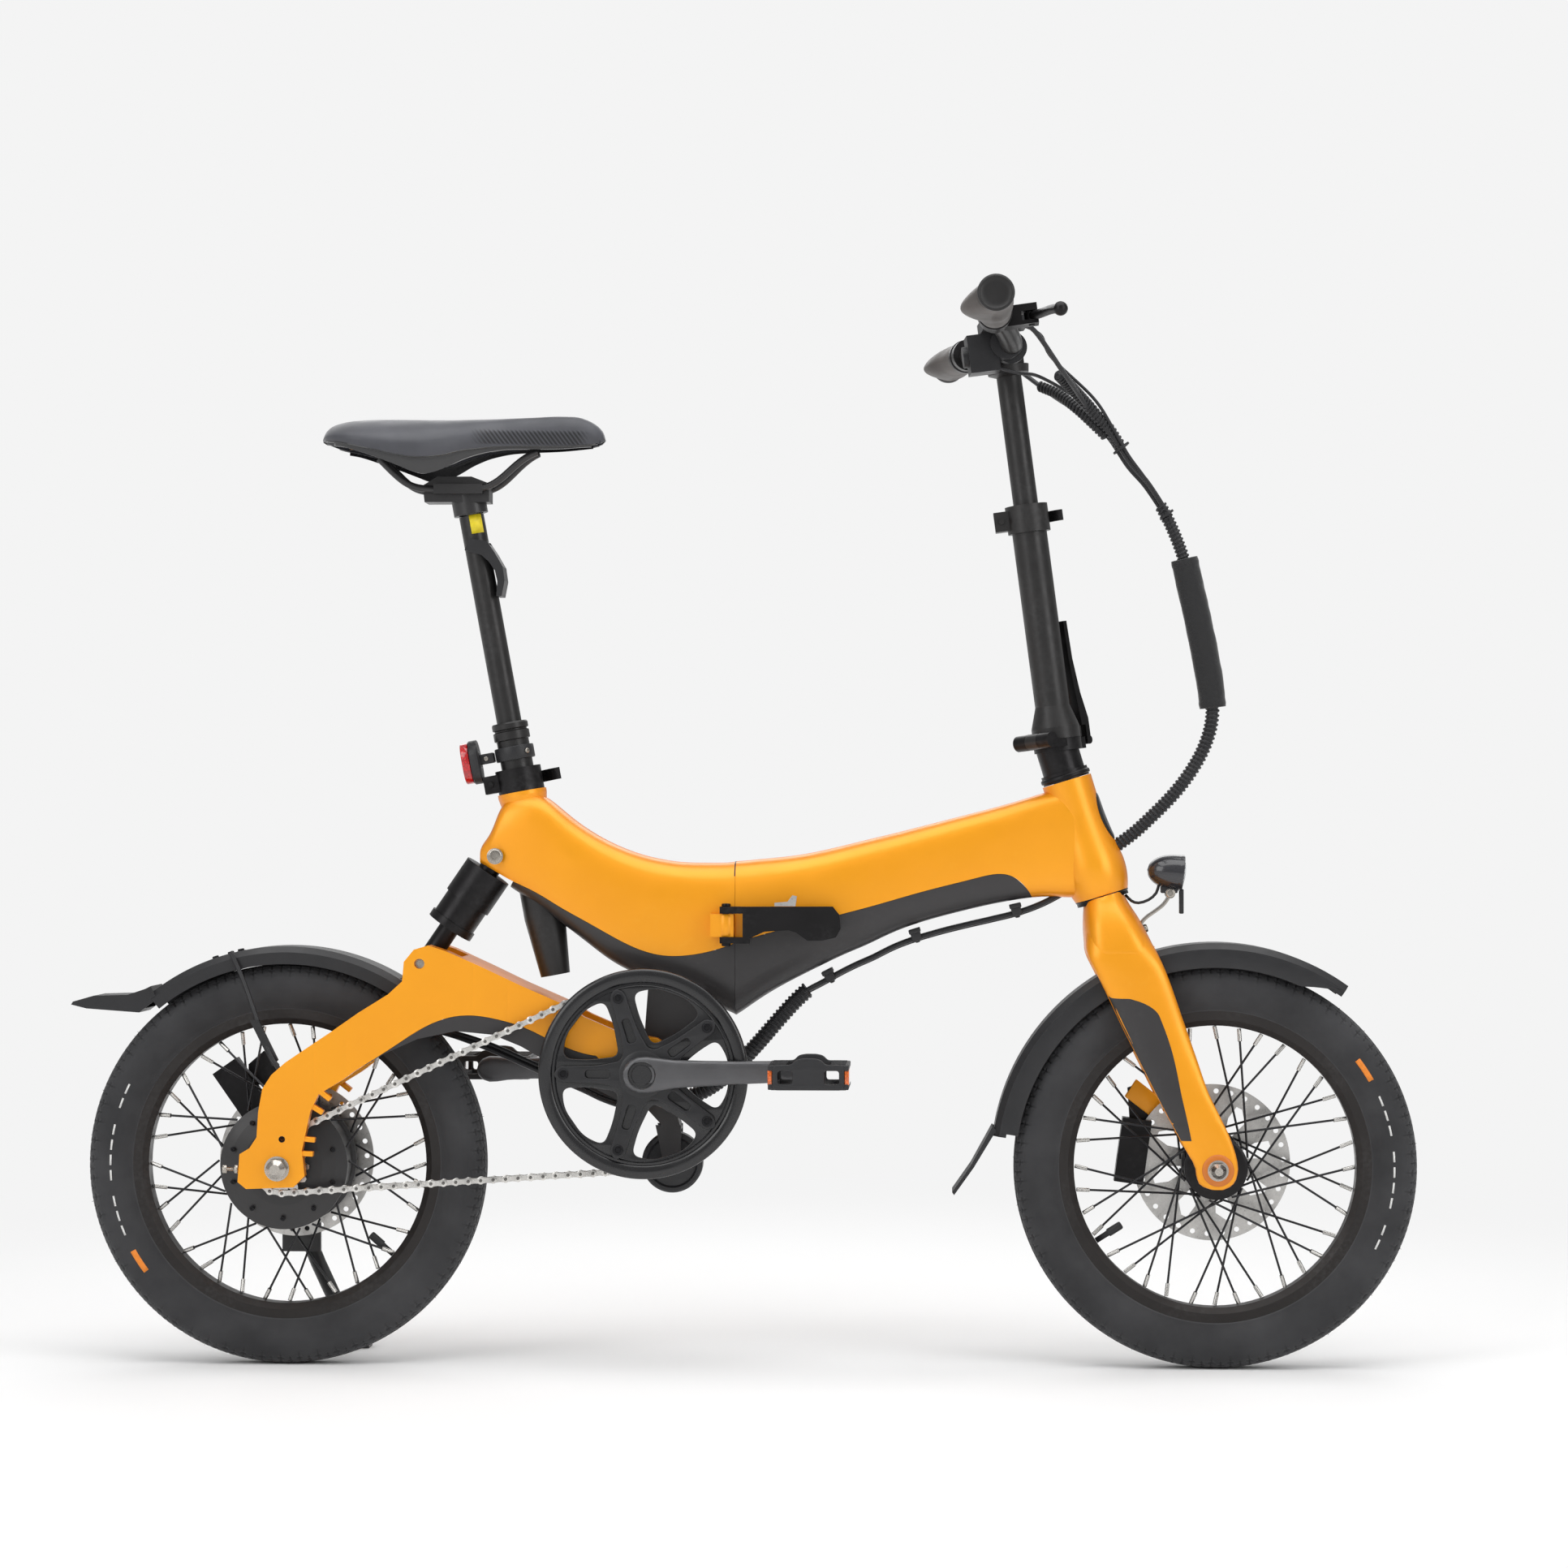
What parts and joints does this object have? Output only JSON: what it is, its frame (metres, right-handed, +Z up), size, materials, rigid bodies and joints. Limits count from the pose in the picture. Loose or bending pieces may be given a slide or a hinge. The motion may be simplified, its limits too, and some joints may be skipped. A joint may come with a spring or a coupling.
{
  "type": "folding electric bicycle",
  "caption": "Folding electric-assist bicycle with small wheels, rear suspension, hub motor, disc brakes, mudguards, lights and a folding telescopic handlebar post.",
  "frame": {"origin": "on the ground, in the wheels' plane, half way along the bicycle's overall length", "axes": "+X forward, +Y to the rider's left, +Z up"},
  "size_m": [1.3661, 0.5817, 1.0715],
  "materials": {
    "frame_paint": "satin",
    "graphite_paint": "satin",
    "black_paint": "satin",
    "black_anodised": "satin",
    "black_plastic": "matte",
    "grip_rubber": "matte",
    "black_tube": "satin",
    "tyre": "matte",
    "rim_black": "satin",
    "spoke_steel": "satin",
    "disc_steel": "brushed",
    "chain_steel": "polished",
    "axle_steel": "polished",
    "saddle_cover": "satin",
    "red_lens": "gloss",
    "guard_plastic": "satin",
    "cable_jacket": "satin",
    "pedal_plastic": "matte"
  },
  "bodies": {
    "rear_frame": {"rear_frame": "frame_paint", "rear_frame_cover": "graphite_paint", "seat_collar": "black_anodised", "crank_hanger": "graphite_paint"},
    "seat_collar_lever": {"seat_collar_lever": "black_anodised"},
    "seatpost_outer": {"outer_seatpost": "black_tube", "tail_light": "red_lens"},
    "seatpost_inner": {"inner_seatpost": "black_tube", "saddle_mount": "black_paint", "saddle": "saddle_cover"},
    "seatpost_lever": {"seatpost_lever": "black_plastic"},
    "frame_latch": {"frame_latch_lever": "black_anodised"},
    "latch_catch": {"latch_catch": "disc_steel"},
    "front_frame": {"front_frame": "frame_paint", "front_frame_cover": "graphite_paint", "frame_cables": "cable_jacket"},
    "fork": {"fork": "frame_paint", "stem_base": "black_anodised", "front_axle": "axle_steel", "front_caliper": "black_anodised", "front_mudguard": "black_plastic", "headlight": "black_plastic"},
    "front_wheel": {"front_tyre": "tyre", "front_rim": "rim_black", "front_hub": "black_anodised", "front_spokes": "spoke_steel", "front_rotor": "disc_steel"},
    "stem_latch": {"stem_latch_lever": "black_anodised"},
    "handlepost_lower": {"lower_handlepost": "black_tube", "cable_harness": "cable_jacket"},
    "handlepost_lever": {"handlepost_lever": "black_anodised"},
    "handlebar": {"upper_handlepost": "black_tube", "handlebar": "black_tube", "grips": "grip_rubber", "brake_lever_mounts": "black_anodised", "handlebar_controls": "black_plastic"},
    "right_brake_lever": {"right_brake_lever": "black_anodised"},
    "left_brake_lever": {"left_brake_lever": "black_anodised"},
    "swingarm": {"swingarm": "frame_paint", "swingarm_cover": "graphite_paint", "rear_axle": "axle_steel", "chain": "chain_steel", "rear_caliper": "black_anodised", "rear_mudguard": "black_plastic"},
    "kickstand": {"kickstand": "black_paint"},
    "rear_wheel": {"rear_tyre": "tyre", "rear_rim": "rim_black", "hub_motor": "black_paint", "rear_spokes": "spoke_steel", "rear_rotor": "disc_steel"},
    "freewheel": {"freewheel_sprocket": "chain_steel"},
    "shock_body": {"shock_body": "black_anodised"},
    "shock_rod": {"shock_rod": "black_anodised"},
    "crankset": {"right_crank": "black_anodised", "left_crank": "black_anodised", "chainring": "disc_steel", "chain_guard": "guard_plastic"},
    "right_pedal": {"right_pedal": "pedal_plastic"},
    "left_pedal": {"left_pedal": "pedal_plastic"},
    "trolley_wheel": {"trolley_wheel": "black_plastic"}
  },
  "joints": [
    {"name": "frame_fold", "type": "hinge", "parent": "rear_frame", "child": "front_frame", "pos_m": [-0.00518, 0.046, 0.436], "axis": [0, 0, 1], "range_deg": [0, 150]},
    {"name": "frame_latch_swing", "type": "hinge", "parent": "rear_frame", "child": "frame_latch", "pos_m": [-0.01348, -0.05, 0.449], "axis": [0, 0, -1], "range_deg": [0, 110]},
    {"name": "latch_catch_lift", "type": "hinge", "parent": "frame_latch", "child": "latch_catch", "pos_m": [0.03582, -0.06, 0.4675], "axis": [0, -1, 0], "range_deg": [0, 30]},
    {"name": "steering", "type": "hinge", "parent": "front_frame", "child": "fork", "pos_m": [0.33032, 0, 0.594], "axis": [-0.2907, 0, 0.9568], "range_deg": [-45, 45]},
    {"name": "handlepost_fold", "type": "hinge", "parent": "fork", "child": "handlepost_lower", "pos_m": [0.29811, -0.0225, 0.63306], "axis": [0.7011, -0.7071, 0.0923], "range_deg": [0, 125]},
    {"name": "stem_latch_swing", "type": "hinge", "parent": "fork", "child": "stem_latch", "pos_m": [0.34793, 0.02722, 0.63559], "axis": [-0.7011, 0.7071, -0.0923], "range_deg": [0, 100]},
    {"name": "handlepost_height", "type": "slide", "parent": "handlepost_lower", "child": "handlebar", "axis": [-0.1305, 0, 0.9914], "range_m": [-0.1, 0.02]},
    {"name": "handlepost_clamp", "type": "hinge", "parent": "handlepost_lower", "child": "handlepost_lever", "pos_m": [0.26415, 0.02, 0.85654], "axis": [-0.1305, 0, 0.9914], "range_deg": [0, 150]},
    {"name": "right_brake_pull", "type": "hinge", "parent": "handlebar", "child": "right_brake_lever", "pos_m": [0.2909, -0.1574, 1.04713], "axis": [0.1322, -0.0408, -0.9904], "range_deg": [0, 18]},
    {"name": "left_brake_pull", "type": "hinge", "parent": "handlebar", "child": "left_brake_lever", "pos_m": [0.26581, 0.15927, 1.04383], "axis": [-0.1257, -0.0406, 0.9912], "range_deg": [0, 18]},
    {"name": "front_wheel_spin", "type": "hinge", "parent": "fork", "child": "front_wheel", "pos_m": [0.47952, 0, 0.2035], "axis": [0, 1, 0], "continuous": true},
    {"name": "seatpost_outer_height", "type": "slide", "parent": "rear_frame", "child": "seatpost_outer", "axis": [-0.1814, 0, 0.9834], "range_m": [0, 0.08]},
    {"name": "seatpost_inner_height", "type": "slide", "parent": "seatpost_outer", "child": "seatpost_inner", "axis": [-0.1814, 0, 0.9834], "range_m": [-0.11, 0.03]},
    {"name": "seatpost_lever_pull", "type": "hinge", "parent": "seatpost_inner", "child": "seatpost_lever", "pos_m": [-0.27538, 0, 0.8341], "axis": [0, -1, 0], "range_deg": [0, 25]},
    {"name": "seat_collar_clamp", "type": "hinge", "parent": "rear_frame", "child": "seat_collar_lever", "pos_m": [-0.25369, 0.021, 0.57794], "axis": [-0.1814, 0, 0.9834], "range_deg": [0, 150]},
    {"name": "suspension", "type": "hinge", "parent": "rear_frame", "child": "swingarm", "pos_m": [-0.09618, 0, 0.299], "axis": [0, 1, 0], "range_deg": [0, 4]},
    {"name": "shock_body_pivot", "type": "hinge", "parent": "rear_frame", "child": "shock_body", "pos_m": [-0.24918, 0, 0.5172], "axis": [0, 1, 0], "range_deg": [-1, 3]},
    {"name": "shock_rod_pivot", "type": "hinge", "parent": "swingarm", "child": "shock_rod", "pos_m": [-0.32318, 0, 0.409], "axis": [0, 1, 0], "range_deg": [-4, 1]},
    {"name": "rear_wheel_spin", "type": "hinge", "parent": "swingarm", "child": "rear_wheel", "pos_m": [-0.46418, 0, 0.2035], "axis": [0, 1, 0], "continuous": true},
    {"name": "freewheel_spin", "type": "hinge", "parent": "swingarm", "child": "freewheel", "pos_m": [-0.46418, 0, 0.2035], "axis": [0, 1, 0], "continuous": true},
    {"name": "kickstand_swing", "type": "hinge", "parent": "swingarm", "child": "kickstand", "pos_m": [-0.45718, 0.075, 0.12], "axis": [0, 1, 0], "range_deg": [0, 95]},
    {"name": "crank_spin", "type": "hinge", "parent": "rear_frame", "child": "crankset", "pos_m": [-0.09618, 0, 0.299], "axis": [0, 1, 0], "continuous": true},
    {"name": "right_pedal_spin", "type": "hinge", "parent": "crankset", "child": "right_pedal", "pos_m": [0.07377, -0.14, 0.30315], "axis": [0, 1, 0], "continuous": true},
    {"name": "left_pedal_spin", "type": "hinge", "parent": "crankset", "child": "left_pedal", "pos_m": [-0.26613, 0.14, 0.29485], "axis": [0, 1, 0], "continuous": true},
    {"name": "trolley_wheel_spin", "type": "hinge", "parent": "rear_frame", "child": "trolley_wheel", "pos_m": [-0.07058, 0, 0.206], "axis": [0, 1, 0], "continuous": true}
  ],
  "couplings": [
    {"joint": "freewheel_spin", "follows": "crank_spin", "ratio": 3.6923},
    {"joint": "shock_body_pivot", "follows": "suspension", "ratio": 0.28493},
    {"joint": "shock_rod_pivot", "follows": "suspension", "ratio": -0.71507}
  ]
}
